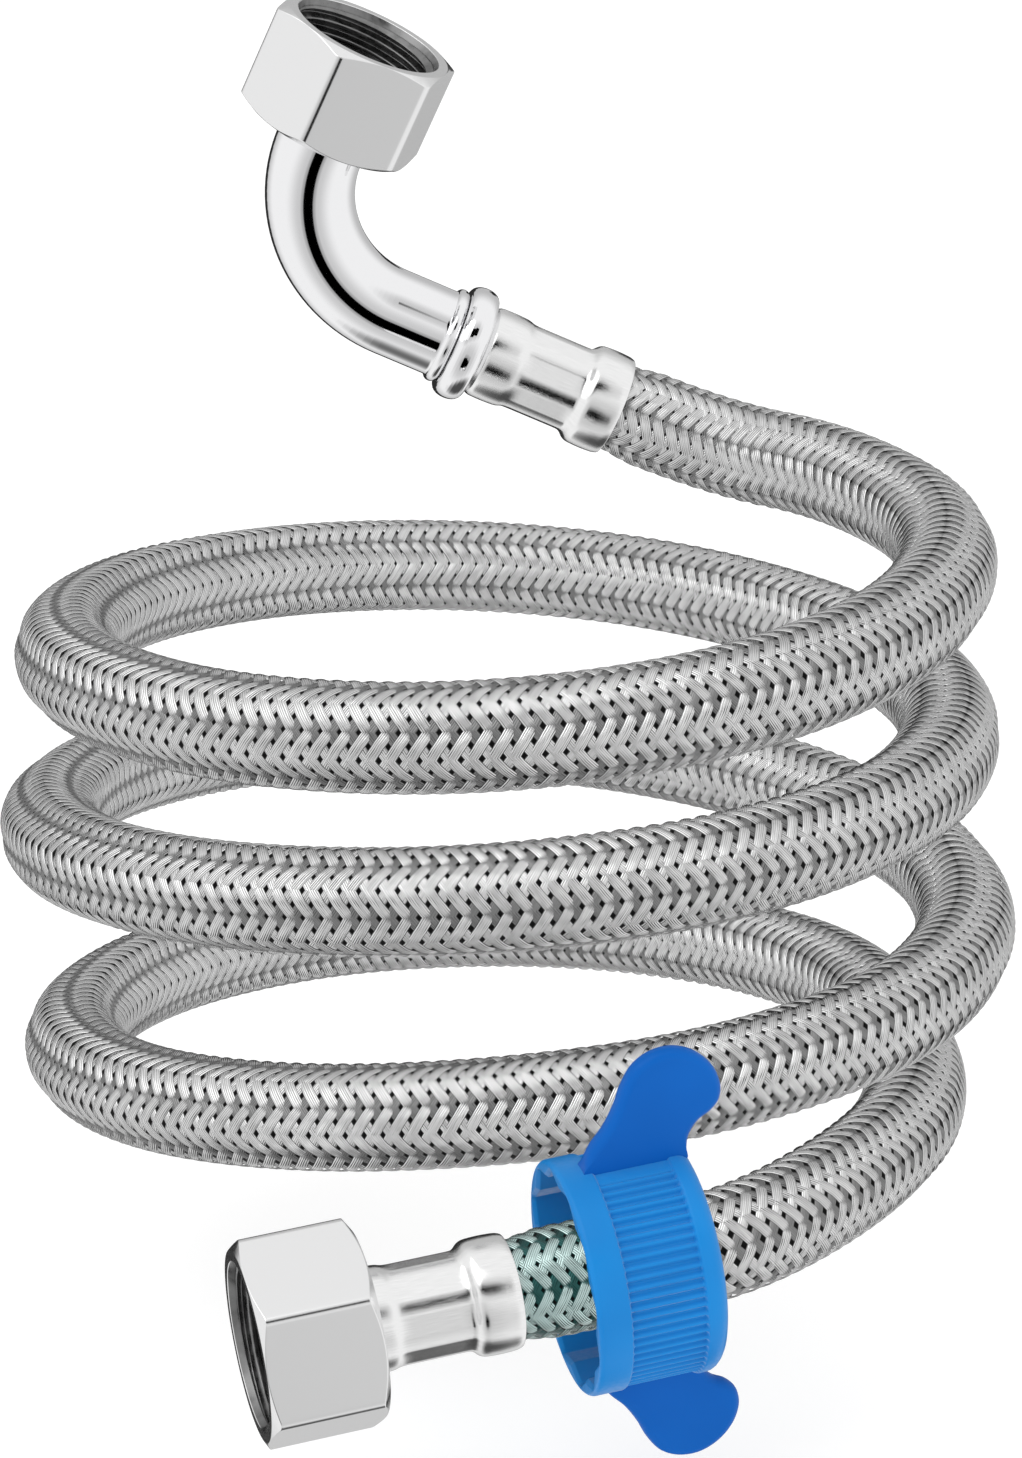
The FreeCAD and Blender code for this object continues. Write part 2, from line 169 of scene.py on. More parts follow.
# ---- meshes ------------------------------------------------------------------------
def mesh_object(name, points, loops, sides, uv=None):
    """Mesh from points in millimetres, corner indices and the number of sides of each face."""
    mesh = bpy.data.meshes.new(name)
    mesh.vertices.add(len(points))
    mesh.vertices.foreach_set("co", (np.asarray(points) * MM).astype(np.float32).ravel())
    mesh.loops.add(len(loops))
    mesh.loops.foreach_set("vertex_index", np.asarray(loops, np.int32))
    mesh.polygons.add(len(sides))
    starts = np.concatenate([[0], np.cumsum(sides)[:-1]])
    mesh.polygons.foreach_set("loop_start", starts.astype(np.int32))
    mesh.polygons.foreach_set("use_smooth", np.full(len(sides), True))
    if uv is not None:
        layer = mesh.uv_layers.new(name="UVMap")
        layer.data.foreach_set("uv", np.asarray(uv)[np.asarray(loops)].astype(np.float32).ravel())
    mesh.update()
    mesh.validate()
    piece = bpy.data.objects.new(name, mesh)
    bpy.context.scene.collection.objects.link(piece)
    return piece


def grid_faces(rows, columns, wrap_rows=False, wrap_columns=True):
    """Quads over a grid of points numbered row by row."""
    r = np.arange(rows if wrap_rows else rows - 1)
    c = np.arange(columns if wrap_columns else columns - 1)
    r, c = np.meshgrid(r, c, indexing="ij")
    below, beside = (r + 1) % rows, (c + 1) % columns
    quads = np.stack([r * columns + c, r * columns + beside,
                      below * columns + beside, below * columns + c], -1)
    return quads.reshape(-1, 4)


def flat_shading(piece):
    """Keep the shading of large faces flat, up to their eased edges."""
    normals = piece.modifiers.new("normals", "WEIGHTED_NORMAL")
    normals.keep_sharp = True


def capped(grid):
    """Corner indices and side counts for a tube over a grid, closed at both ends."""
    rows, columns = grid.shape[:2]
    quads = grid_faces(rows, columns)
    caps = [np.arange(columns)[::-1], np.arange(columns) + (rows - 1) * columns]
    loops = np.concatenate([quads.ravel(), *caps])
    return loops, np.concatenate([np.full(len(quads), 4), [columns, columns]])


def grid_object(name, grid, wrap_rows=False, uv=None):
    """Surface over a (rows, columns, 3) grid whose columns go right round."""
    rows, columns = grid.shape[:2]
    quads = grid_faces(rows, columns, wrap_rows)
    piece = mesh_object(name, grid.reshape(-1, 3), quads.ravel(), np.full(len(quads), 4), uv)
    flat_shading(piece)
    return piece


def eased(corners, steps=4):
    """Rows (radius, z) of a profile whose corners are eased; a corner is (radius, z, ease)."""
    columns = max(np.size(value) for corner in corners for value in corner)
    points = [np.stack([np.broadcast_to(np.asarray(v, float), columns) for v in corner[:2]], -1)
              for corner in corners]
    rows = []
    for i, (_, _, ease) in enumerate(corners):
        here, before, after = points[i], points[i - 1], points[(i + 1) % len(points)]
        back, ahead = before - here, after - here
        back_length = np.maximum(np.linalg.norm(back, axis=-1, keepdims=True), 1e-6)
        ahead_length = np.maximum(np.linalg.norm(ahead, axis=-1, keepdims=True), 1e-6)
        first = here + back * np.minimum(ease / back_length, 0.45)
        last = here + ahead * np.minimum(ease / ahead_length, 0.45)
        for u in np.linspace(0, 1, steps):
            rows.append(first * (1 - u) ** 2 + here * 2 * u * (1 - u) + last * u ** 2)
    return np.array(rows)


def turned(profile, angles):
    """Grid of local points from profile rows (row, 1 or column, 2) round the Z axis."""
    radius, z = np.broadcast_to(profile, (len(profile), len(angles), 2))[..., 0], profile[..., 1]
    z = np.broadcast_to(z, radius.shape)
    return np.stack([radius * np.cos(angles), radius * np.sin(angles), z], -1)


def full_circle(columns):
    return np.arange(columns) * 2 * math.pi / columns


def polygon_radius(angles, flats, sides, corner=0.0, rounding=0.3):
    """Radius at these angles of a polygon with rounded corners, one of them at corner."""
    sector = 2 * math.pi / sides
    off = np.abs((angles - corner + sector / 2) % sector - sector / 2)       # from the nearest corner
    flat = flats / 2 / np.cos(sector / 2 - off)
    centre = (flats / 2 - rounding) / math.cos(sector / 2)
    across = np.maximum(rounding ** 2 - (centre * np.sin(off)) ** 2, 0)
    arc = centre * np.cos(off) + np.sqrt(across)
    tangent = math.atan2(rounding * math.sin(sector / 2), centre + rounding * math.cos(sector / 2))
    return np.where(off < tangent, arc, flat)


def corner_angles(sides, corner, close, plain):
    """Angles round a polygon: close ones at each corner, plain ones between."""
    sector = 2 * math.pi / sides
    marks = np.concatenate([close, np.linspace(close[-1], sector + close[0], plain + 2)[1:-1]])
    return np.concatenate([corner + i * sector + marks for i in range(sides)])


# ---- materials ---------------------------------------------------------------------
class Graph:
    """Short ways to make nodes: an input is a number, a tuple or another node's socket."""

    def __init__(self, tree):
        self.tree = tree
        tree.nodes.clear()

    def feed(self, socket, value):
        if isinstance(value, bpy.types.NodeSocket):
            self.tree.links.new(value, socket)
        else:
            socket.default_value = value

    def new(self, kind, inputs=None, **settings):
        node = self.tree.nodes.new(kind)
        for name, value in settings.items():
            setattr(node, name, value)
        for name, value in (inputs or {}).items():
            self.feed(node.inputs[name], value)
        return node

    def math(self, operation, *values, clamp=False):
        node = self.new("ShaderNodeMath", operation=operation, use_clamp=clamp)
        for socket, value in zip(node.inputs, values):
            self.feed(socket, value)
        return node.outputs[0]

    def vector(self, operation, *values, out="Vector"):
        node = self.new("ShaderNodeVectorMath", operation=operation)
        for socket, value in zip(node.inputs, values):
            self.feed(socket, value)
        return node.outputs[out]

    def spread(self, value, low, high, to_low=0.0, to_high=1.0, kind="SMOOTHSTEP"):
        node = self.new("ShaderNodeMapRange", {"Value": value}, interpolation_type=kind)
        limits = {"From Min": low, "From Max": high, "To Min": to_low, "To Max": to_high}
        for name, number in limits.items():
            node.inputs[name].default_value = number
        return node.outputs["Result"]

    def noise(self, place, scale, detail=2.0, rough=0.5):
        node = self.new("ShaderNodeTexNoise",
                        {"Vector": place, "Scale": scale, "Detail": detail, "Roughness": rough})
        return node.outputs["Fac"]

    def mix(self, amount, a, b):
        node = self.new("ShaderNodeMix", data_type="RGBA")
        for socket, value in zip((node.inputs[0], node.inputs[6], node.inputs[7]), (amount, a, b)):
            self.feed(socket, value)
        return node.outputs[2]

    def bump(self, height, distance, strength=1.0):
        node = self.new("ShaderNodeBump",
                        {"Height": height, "Distance": distance * MM, "Strength": strength})
        return node.outputs["Normal"]


def material(name, colour, metallic, **inputs):
    """A material with a Principled shader; returns it with its graph and shader."""
    made = bpy.data.materials.new(name)
    made.use_nodes = True
    graph = Graph(made.node_tree)
    shader = graph.new("ShaderNodeBsdfPrincipled", {"Metallic": metallic, **inputs})
    shader.inputs["Base Color"].default_value = (*colour, 1)
    out = graph.new("ShaderNodeOutputMaterial")
    made.node_tree.links.new(shader.outputs[0], out.inputs["Surface"])
    return made, graph, shader


def place_of(graph, kind="Object"):
    return graph.new("ShaderNodeTexCoord").outputs[kind]


def polished_steel():
    made, g, shader = material("polished_steel", (0.86, 0.86, 0.87), 1.0)
    place = place_of(g)
    g.feed(shader.inputs["Roughness"], g.spread(g.noise(place, 90, 3), 0.3, 0.75, 0.035, 0.075))
    g.feed(shader.inputs["Normal"], g.bump(g.noise(place, 260, 2), 0.004, 0.35))
    return made


def drawn_steel():
    """Ferrules: bright drawn tube with faint lines along it (UV: x round, y along)."""
    made, g, shader = material("drawn_steel", (0.86, 0.86, 0.86), 1.0)
    place = place_of(g, "UV")
    lines = g.noise(g.vector("MULTIPLY", place, (60, 1.2, 1)), 3, 3)
    g.feed(shader.inputs["Roughness"], g.spread(lines, 0.3, 0.7, 0.1, 0.17))
    grey = g.mix(g.spread(lines, 0.3, 0.7), (0.8, 0.8, 0.8, 1), (0.9, 0.9, 0.9, 1))
    g.feed(shader.inputs["Base Color"], grey)
    g.feed(shader.inputs["Normal"], g.bump(lines, 0.012, 0.5))
    return made


def ground_steel():
    """Nuts: fine belt-ground lines round the nut."""
    made, g, shader = material("ground_steel", (0.8, 0.8, 0.8), 1.0)
    place = place_of(g, "UV")
    lines = g.noise(g.vector("MULTIPLY", place, (2.0, 26, 1)), 8, 4, 0.6)
    g.feed(shader.inputs["Roughness"], g.spread(lines, 0.3, 0.7, 0.12, 0.2))
    grey = g.mix(g.spread(lines, 0.25, 0.75), (0.76, 0.76, 0.765, 1), (0.84, 0.84, 0.84, 1))
    g.feed(shader.inputs["Base Color"], grey)
    g.feed(shader.inputs["Normal"], g.bump(lines, 0.006, 0.4))
    return made


def painted_spanner_cast(graph, colour, tint, strength):
    """Colour that turns to tint over the hose just outside the straight end's ferrule: a painted
    blue-green cast of the blue spanner on the braid.
    """
    along = graph.vector("DOT_PRODUCT", place_of(graph), tuple(straight_in), out="Value")
    start = straight_mouth.dot(straight_in) * MM
    near = graph.vector("DISTANCE", place_of(graph), tuple(straight_mouth * MM), out="Value")
    amount = graph.math("MULTIPLY", graph.spread(along, start - 0.002, start + 0.001),
                        graph.spread(near, 0.013, 0.019, strength, 0.0))
    return graph.mix(amount, colour, tint)


def ribbon_steel():
    """Plaited ribbons: parallel fine wires (UV: x across the ribbon, y along it in mm).

    A second map, weave, tells how far over (1) or under (0) the others the ribbon runs. The colour
    carries painted shade: darker towards each ribbon's edges and where it runs under the others.
    """
    made, g, shader = material("ribbon_steel", (0.8, 0.8, 0.8), 1.0)
    place = place_of(g, "UV")
    across = g.new("ShaderNodeSeparateXYZ", {"Vector": place}).outputs["X"]
    weave = g.new("ShaderNodeUVMap", uv_map="weave").outputs["UV"]
    over = g.new("ShaderNodeSeparateXYZ", {"Vector": weave}).outputs["X"]
    off_middle = g.math("ABSOLUTE", g.math("SUBTRACT", across, 0.5))
    wire = g.math("ABSOLUTE", g.math("SINE", g.math("MULTIPLY", across, math.pi * 6)))
    worn = g.noise(g.vector("MULTIPLY", place, (5, 0.35, 1)), 1.0, 2)
    patches = g.noise(place_of(g), 220, 2)
    shade = g.math("MULTIPLY", g.spread(wire, 0.0, 0.75, 0.6, 1.0), g.spread(worn, 0.25, 0.75, 0.78, 1.0))
    shade = g.math("MULTIPLY", shade, g.spread(patches, 0.3, 0.7, 0.88, 1.0))
    # painted shade in the slits between ribbons: darker towards each ribbon's edges
    shade = g.math("MULTIPLY", shade, g.spread(off_middle, 0.4, 0.5, 1.0, 0.12))
    # painted shade where the ribbon runs under the others
    shade = g.math("MULTIPLY", shade, g.spread(over, 0.0, 0.36, 0.34, 1.0))
    steel = g.mix(shade, (0.02, 0.02, 0.02, 1), (0.82, 0.82, 0.82, 1))
    # painted colour cast of the blue spanner, blue-green over the braid beside the straight end's ferrule
    green = g.mix(g.spread(shade, 0.35, 0.85), (0.005, 0.075, 0.07, 1), (0.5, 0.66, 0.64, 1))
    g.feed(shader.inputs["Base Color"], painted_spanner_cast(g, steel, green, 0.9))
    g.feed(shader.inputs["Roughness"], g.spread(worn, 0.2, 0.8, 0.15, 0.26))
    g.feed(shader.inputs["Normal"], g.bump(wire, 0.07, 0.7))
    return made


def rubber(name, colour, gloss=0.5):
    made, g, shader = material(name, colour, 0.0)
    shader.inputs["Specular IOR Level"].default_value = gloss
    place = place_of(g)
    grain = g.noise(place, 900, 3)
    g.feed(shader.inputs["Roughness"], g.spread(grain, 0.3, 0.7, 0.55, 0.75))
    g.feed(shader.inputs["Normal"], g.bump(grain, 0.03, 0.4))
    return made


def blue_plastic(name, gloss, deep, light):
    made, g, shader = material(name, light, 0.0)
    shader.inputs["Specular IOR Level"].default_value = gloss
    place = place_of(g)
    grain, cloud = g.noise(place, 1500, 2), g.noise(place, 60, 2)
    g.feed(shader.inputs["Base Color"], g.mix(g.spread(cloud, 0.3, 0.7), (*deep, 1), (*light, 1)))
    g.feed(shader.inputs["Roughness"], g.spread(grain, 0.3, 0.7, 0.3, 0.42))
    g.feed(shader.inputs["Normal"], g.bump(grain, 0.02, 0.25))
    return made


def thread_steel():
    """Inside of a nut: cut thread, dull and dark grey, darker than the nut's outside."""
    made, g, shader = material("thread_steel", (0.2, 0.2, 0.2), 1.0)
    grain = g.noise(place_of(g), 700, 3)
    g.feed(shader.inputs["Base Color"], g.mix(grain, (0.1, 0.1, 0.1, 1), (0.32, 0.32, 0.32, 1)))
    g.feed(shader.inputs["Roughness"], g.spread(grain, 0.3, 0.7, 0.22, 0.4))
    return made


POLISHED, DRAWN, GROUND, THREAD = polished_steel(), drawn_steel(), ground_steel(), thread_steel()
RIBBON = ribbon_steel()
RING_BLUE = blue_plastic("ring_blue", 0.25, (0.002, 0.2, 0.58), (0.003, 0.235, 0.65))
# the wings' copy of the spanner's blue plastic is darker than the ring's: painted shade
WING_BLUE = blue_plastic("wing_blue", 0.12, (0.0005, 0.108, 0.46), (0.001, 0.12, 0.5))
CORE = rubber("core_rubber", (0.003, 0.003, 0.003), 0.1)
WASHER = rubber("washer_rubber", (0.02, 0.02, 0.02))


def finished(piece, body, slot, look, *nodes):
    piece.data.materials.append(look)
    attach(piece, body)
    if nodes:
        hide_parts(*nodes)
    return piece


# ---- hose: route, core and plait ---------------------------------------------------
def route_points():
    points = [ELBOW_MOUTH, ELBOW_MOUTH + elbow_out * ELBOW_RUN, polar(*LEAD_IN)]
    for step in range((len(COIL_RADII) - 1) * POINTS_PER_TURN // 4 + 1):
        place = step * 4.0 / POINTS_PER_TURN
        points.append(polar(between(COIL_RADII, place), 90 + step * 360.0 / POINTS_PER_TURN,
                            between(COIL_HEIGHTS, place)))
    points += [polar(*place) for place in LEAD_OUT]
    points += [STRAIGHT_MOUTH - straight_out * run for run in (STRAIGHT_RUN, SPANNER_RUN, 0)]
    return [point - seat for point in points]


def spline_line(points):
    """Points along the NURBS spline that has these control points."""
    curve = bpy.data.curves.new("route", "CURVE")
    curve.dimensions = "3D"
    curve.resolution_u = 32
    spline = curve.splines.new("NURBS")
    spline.points.add(len(points) - 1)
    for control, point in zip(spline.points, points):
        control.co = (*(point * MM), 1.0)
    spline.order_u = 3
    spline.use_endpoint_u = True
    holder = bpy.data.objects.new("route", curve)
    bpy.context.scene.collection.objects.link(holder)
    bpy.context.view_layer.update()
    evaluated = holder.evaluated_get(bpy.context.evaluated_depsgraph_get())
    mesh = bpy.data.meshes.new_from_object(evaluated)
    line = np.array([vertex.co for vertex in mesh.vertices]) / MM
    bpy.data.objects.remove(holder)
    bpy.data.curves.remove(curve)
    bpy.data.meshes.remove(mesh)
    return line


class Line:
    """The hose's centreline by arc length, with a frame that doesn't twist."""

    def __init__(self, points, spacing=0.25):
        at = np.concatenate([[0], np.cumsum(np.linalg.norm(np.diff(points, axis=0), axis=1))])
        keep = np.concatenate([[True], np.diff(at) > 1e-6])
        at, points = at[keep], points[keep]
        self.length = at[-1]
        self.at = np.linspace(0, self.length, int(self.length / spacing) + 1)
        self.points = np.stack([np.interp(self.at, at, points[:, k]) for k in range(3)], -1)
        tangents = np.gradient(self.points, self.at, axis=0)
        tangents /= np.linalg.norm(tangents, axis=1, keepdims=True)
        side = np.cross(tangents[0], (0, 0, 1))
        sides = []
        for tangent in tangents:
            side = side - tangent * (side @ tangent)
            side = side / np.linalg.norm(side)
            sides.append(side)
        self.tangents, self.sides = tangents, np.array(sides)

    def sample(self, at):
        """Centre, tangent and two crosswise directions at these lengths, ends carried on straight."""
        inside = np.clip(at, 0, self.length)
        read = [np.stack([np.interp(inside, self.at, values[:, k]) for k in range(3)], -1)
                for values in (self.points, self.tangents, self.sides)]
        centre, tangent, side = read
        tangent /= np.linalg.norm(tangent, axis=1, keepdims=True)
        side -= tangent * np.sum(side * tangent, axis=1, keepdims=True)
        side /= np.linalg.norm(side, axis=1, keepdims=True)
        return centre + tangent * (at - inside)[:, None], tangent, side, np.cross(tangent, side)

    def swell(self, at):
        """0 in the ferrules, 1 on the free hose."""
        u = np.clip(np.minimum(at, self.length - at) / SWELL, 0, 1)
        return u * u * (3 - 2 * u)


hose = Line(spline_line(route_points()))


def core_tube():
    """The hose under its plait, and the points that it follows."""
    columns = 40
    at = np.linspace(0, hose.length, int(hose.length / 2) + 1)
    centre, _, side, other = hose.sample(at)
    angles = full_circle(columns)[None, :, None]
    radius = (CORE_R - (1 - hose.swell(at)) * (PLAIT_R - PLAIT_MOUTH_R))[:, None, None]
    grid = centre[:, None] + radius * (side[:, None] * np.cos(angles) + other[:, None] * np.sin(angles))
    return mesh_object("hose_core", grid.reshape(-1, 3), *capped(grid)), centre * MM


def ribbon(turn, carrier):
    """One ribbon of the plait: a crowned strip, over two and under two.

    Gives its points, its two maps (place on the strip, and over or under) and its faces.
    """
    start_angle, phase = 4 * math.pi * carrier / CARRIERS, 2 * carrier
    at = np.arange(-TUCK, hose.length + TUCK, PLAIT_STEP)
    theta = start_angle + turn * 2 * math.pi * at / LAY_LENGTH
    crossing = phase + at * CARRIERS / LAY_LENGTH
    wave = np.clip(1.35 * np.cos(2 * math.pi * (crossing - 0.5) / 4), -1, 1) * turn
    centre, _, side, other = hose.sample(at)
    outward = side * np.cos(theta)[:, None] + other * np.sin(theta)[:, None]
    radius = PLAIT_MOUTH_R + (PLAIT_R - PLAIT_MOUTH_R) * hose.swell(at) + PLAIT_RISE * wave
    middle = centre + outward * radius[:, None]
    along = np.gradient(middle, axis=0)
    along /= np.linalg.norm(along, axis=1, keepdims=True)
    face = np.cross(np.cross(along, outward), along)
    face /= np.linalg.norm(face, axis=1, keepdims=True)
    across = np.cross(face, along)
    u = np.array([-1, -0.55, 0, 0.55, 1])
    crown = np.array([0, 0.75, 1, 0.75, 0]) * RIBBON_CROWN
    grid = (middle[:, None] + across[:, None] * (u * RIBBON_WIDTH / 2)[None, :, None]
            + face[:, None] * crown[None, :, None])
    run = at / math.cos(math.atan(2 * math.pi * PLAIT_R / LAY_LENGTH))
    uv = np.stack(np.broadcast_arrays((u / 2 + 0.5)[None, :], run[:, None] + 7.3 * carrier), -1)
    # how far over or under the others; the ribbon material turns the under stretches into painted shade
    over = np.repeat(wave / 2 + 0.5, len(u))
    return grid.reshape(-1, 3), uv.reshape(-1, 2), over, grid_faces(len(at), len(u), wrap_columns=False)


def plait(name, turn, carriers):
    """Ribbons that wind one way; each way is two pieces."""
    points, uvs, overs, quads, count = [], [], [], [], 0
    for carrier in carriers:
        grid, uv, over, faces = ribbon(turn, carrier)
        points.append(grid)
        uvs.append(uv)
        overs.append(over)
        quads.append(faces + count)
        count += len(grid)
    quads = np.concatenate(quads)
    piece = mesh_object(name, np.concatenate(points), quads.ravel(), np.full(len(quads), 4),
                        np.concatenate(uvs))
    over = np.concatenate(overs)[quads.ravel()]
    # the weave map feeds the ribbon material's painted shade where a ribbon runs under the others
    weave = piece.data.uv_layers.new(name="weave")
    weave.data.foreach_set("uv", np.stack([over, np.zeros(len(over))], -1).astype(np.float32).ravel())
    return finished(piece, "hose", "braid", RIBBON)


# ---- nuts --------------------------------------------------------------------------
def nut(name, body, node, origin, direction, spin):
    """Hexagon nut with a real thread, chamfered corners, lip and recess; one closed surface."""
    half = np.array([0.6, 1.25, 1.9, 2.55, 2.9, 4.5])
    close = np.radians(np.concatenate([-half[::-1], [0], half]))
    angles = corner_angles(6, 0.0, close, 11)
    hexagon = polygon_radius(angles, NUT_FLATS, 6, rounding=1.5)
    bevel_front, slope_front = 11.98, 0.5      # radius where the chamfer starts, and its fall
    bevel_back, slope_back = 11.75, 0.62
    thread_start, lead_in = NUT_FRONT - 0.9, THREAD_ROOT_R - 0.3
    front = NUT_FRONT - np.maximum(hexagon - bevel_front, 0) * slope_front
    back = NUT_BACK + np.maximum(hexagon - bevel_back, 0) * slope_back
    rim_r = THREAD_ROOT_R + 0.15
    outside = eased([
        (STEM_R + 0.05, LIP_BACK, 0.08), (RECESS_R, LIP_BACK, 0.15), (RECESS_R, NUT_BACK, 0.35),
        (np.minimum(bevel_back, hexagon - 0.02), NUT_BACK, 0.12), (hexagon, back, 0.14),
        (hexagon, front, 0.14), (np.minimum(bevel_front, hexagon - 0.02), NUT_FRONT, 0.1),
        (rim_r, NUT_FRONT, 0.1), (lead_in, thread_start, 0.1),
        (RELIEF_R, -0.1, 0.1), (RELIEF_R, LIP_FRONT, 0.1), (STEM_R + 0.05, LIP_FRONT, 0.1)])
    rows_per_corner = 4
    before = rows_per_corner * 9               # the thread's rows follow the lead-in's
    z = np.linspace(thread_start - 0.05, -0.05, 58)
    turn = (z[:, None] - THREAD_PITCH * angles[None] / (2 * math.pi)) / THREAD_PITCH % 1
    tooth = np.clip(np.abs(turn - 0.5) * 2 * 1.45 - 0.22, 0, 1)
    tooth = tooth * tooth * (3 - 2 * tooth)
    threads = THREAD_R + (THREAD_ROOT_R - THREAD_R) * tooth
    threads = np.maximum(threads, lead_in + z[:, None] - thread_start)
    rows = np.stack([threads, np.broadcast_to(z[:, None], threads.shape)], -1)
    profile = np.concatenate([outside[:before], rows, outside[before:]])
    local = turned(profile, angles)
    uv = np.stack([np.broadcast_to(angles * 12, profile.shape[:2]), profile[..., 1]], -1).reshape(-1, 2)
    piece = grid_object(name, placed(local, origin, direction, spin), wrap_rows=True, uv=uv)
    finished(piece, body, "nut_steel", GROUND, node)
    piece.data.materials.append(THREAD)
    rows = np.arange(len(profile))
    lip_end, face_end = rows_per_corner * 2, rows_per_corner * 8 - 2
    inside = np.repeat((rows < lip_end) | (rows > face_end), len(angles))
    piece.data.polygons.foreach_set("material_index", inside.astype(np.int32))
    return piece


# ---- elbow -------------------------------------------------------------------------
def elbow_line(at):
    """Centre, tangent and normal of the elbow's tube by the length from the sealing face."""
    quarter = BEND_R * math.pi / 2
    angle = np.clip((at - ELBOW_LEG) / BEND_R, 0, math.pi / 2)[:, None]
    up, out = np.array(elbow_up), np.array(elbow_out)
    before = np.minimum(at, ELBOW_LEG)[:, None]
    after = np.maximum(at - ELBOW_LEG - quarter, 0)[:, None]
    centre = -up * before + out * after + BEND_R * (out * (1 - np.cos(angle)) - up * np.sin(angle))
    return centre, out * np.sin(angle) - up * np.cos(angle), out * np.cos(angle) + up * np.sin(angle)


def elbow():
    """Bent tube with the flange that holds the nut and a small bead near its end."""
    quarter = BEND_R * math.pi / 2
    bead_from = ELBOW_LEG + quarter + AFTER_BEND
    end = bead_from + BEAD_WIDTH + SOCKET_DEPTH
    front = -FLANGE_FRONT
    low = BEAD_R - BEAD_WIDTH / 2
    flange = [(FLANGE_R, front, 0.2), (FLANGE_R, -FLANGE_BACK, 0.2), (STEM_R, -FLANGE_BACK, 0.3)]
    bend = [(STEM_R, ELBOW_LEG + quarter * k / 30, 0.02) for k in range(31)]
    swell = np.linspace(0.0, math.pi, 13)
    bead = [(low + (BEAD_R - low) * math.sin(t) ** 0.8,
             bead_from + BEAD_WIDTH * (1 - math.cos(t)) / 2, 0.01) for t in swell]
    bead[0] = (STEM_R, bead_from - 0.25, 0.1)
    outer = flange + bend + bead + [(STEM_R, bead_from + BEAD_WIDTH, 0.1), (STEM_R, end, 0.1)]
    inner = [(ELBOW_BORE_R, end, 0.1)]
    inner += [(ELBOW_BORE_R, ELBOW_LEG + quarter * k / 16, 0.02) for k in range(16, -1, -1)]
    inner += [(ELBOW_BORE_R, front, 0.25)]
    profile = eased(outer + inner, 3)[:, 0]
    centre, tangent, normal = elbow_line(profile[:, 1])
    across = np.cross(tangent, normal)
    angles = full_circle(96)[None, :, None]
    grid = (centre[:, None] + profile[:, None, :1]
            * (normal[:, None] * np.cos(angles) + across[:, None] * np.sin(angles)))
    piece = grid_object("elbow_tube_polished", grid, wrap_rows=True)
    return finished(piece, "hose", "polished_steel", POLISHED, "elbow_tube")


def elbow_collar():
    """Rounded collar over the tube's end, with the barbed tail that holds the hose."""
    swell = np.linspace(0.12, math.pi - 0.12, 15)
    low = STEM_R + 0.45
    collar = [(low + (COLLAR_R - low) * math.sin(t) ** 0.75, -COLLAR_WIDTH * (1 + math.cos(t)) / 2, 0.02)
              for t in swell]
    tail = [(low - 0.2, 0, 0.1), (SHOULDER_R, 0.05, 0.1), (SHOULDER_R, GRIP_DEPTH, 0.1),
            (BARB_R, GRIP_DEPTH, 0.1)]
    for i in range(BARB_COUNT):
        start = 6.9 + i * BARB_PITCH
        tail += [(BARB_R, start, 0.05), (BARB_CREST_R, start, 0.05),
                 (BARB_R, start + BARB_PITCH * 0.8, 0.05)]
    tail += [(BARB_R, INSERT_END_H, 0.1), (INSERT_BORE_R, INSERT_END_H, 0.1)]
    socket_end = SOCKET_DEPTH - COLLAR_WIDTH
    tail += [(INSERT_BORE_R, socket_end, 0.1), (STEM_R + 0.02, socket_end, 0.05),
             (STEM_R + 0.02, -COLLAR_WIDTH, 0.05)]
    profile = eased(collar + tail, 3)
    grid = placed(turned(profile, full_circle(96)), elbow_head, elbow_out)
    return finished(grid_object("elbow_collar", grid, wrap_rows=True), "hose", "polished_steel", POLISHED,
                    "elbow_insert")


# ---- ferrules ----------------------------------------------------------------------
def ferrule(name, node, head, direction, first_corner):
    """Crimped ferrule: two plain swells and, between them, a neck pressed to eight flats."""
    half = np.array([1.6, 3.3, 5, 7, 9.2, 11])
    close = np.radians(np.concatenate([-half[::-1], [0], half]))
    angles = corner_angles(8, first_corner, close, 5)
    neck = np.minimum(polygon_radius(angles, NECK_FLATS, 8, first_corner, 0.12), NECK_CORNER_R)
    soft = (neck + 6.4) / 2        # part of the way out to the swells
    profile = eased([
        (SHOULDER_R + 0.02, 0, 0.08), (6.0, 0, 0.3), (6.65, 0.7, 0.6), (6.72, 3.0, 1.2), (6.62, 5.2, 0.7),
        (soft, 6.0, 0.5), (neck, 6.9, 0.7), (neck, 14.4, 0.7), (soft, 15.3, 0.5), (7.36, 16.3, 0.7),
        (7.5, 18.6, 1.2), (7.4, 20.8, 0.6), (7.15, FERRULE_LENGTH, 0.15), (6.55, FERRULE_LENGTH, 0.15),
        (6.5, 15.9, 0.3), (5.6, 15.4, 0.2), (5.6, 5.9, 0.2), (5.9, 5.4, 0.2), (5.9, GRIP_DEPTH, 0.1),
        (SHOULDER_R + 0.02, GRIP_DEPTH, 0.05)], 5)
    local = turned(profile, angles)
    uv = np.stack([np.broadcast_to(angles, local.shape[:2]), local[..., 2] * 0.1], -1).reshape(-1, 2)
    piece = grid_object(name, placed(local, head, direction), wrap_rows=True, uv=uv)
    return finished(piece, "hose", "bright_steel", DRAWN, node)


# ---- wing spanner ------------------------------------------------------------------
def star_radius(angles, corner):
    """Twelve-point socket: the wider of two hexagons."""
    return np.maximum(polygon_radius(angles, SPANNER_FLATS, 6, corner, 0.15),
                      polygon_radius(angles, SPANNER_FLATS, 6, corner + math.pi / 6, 0.15))


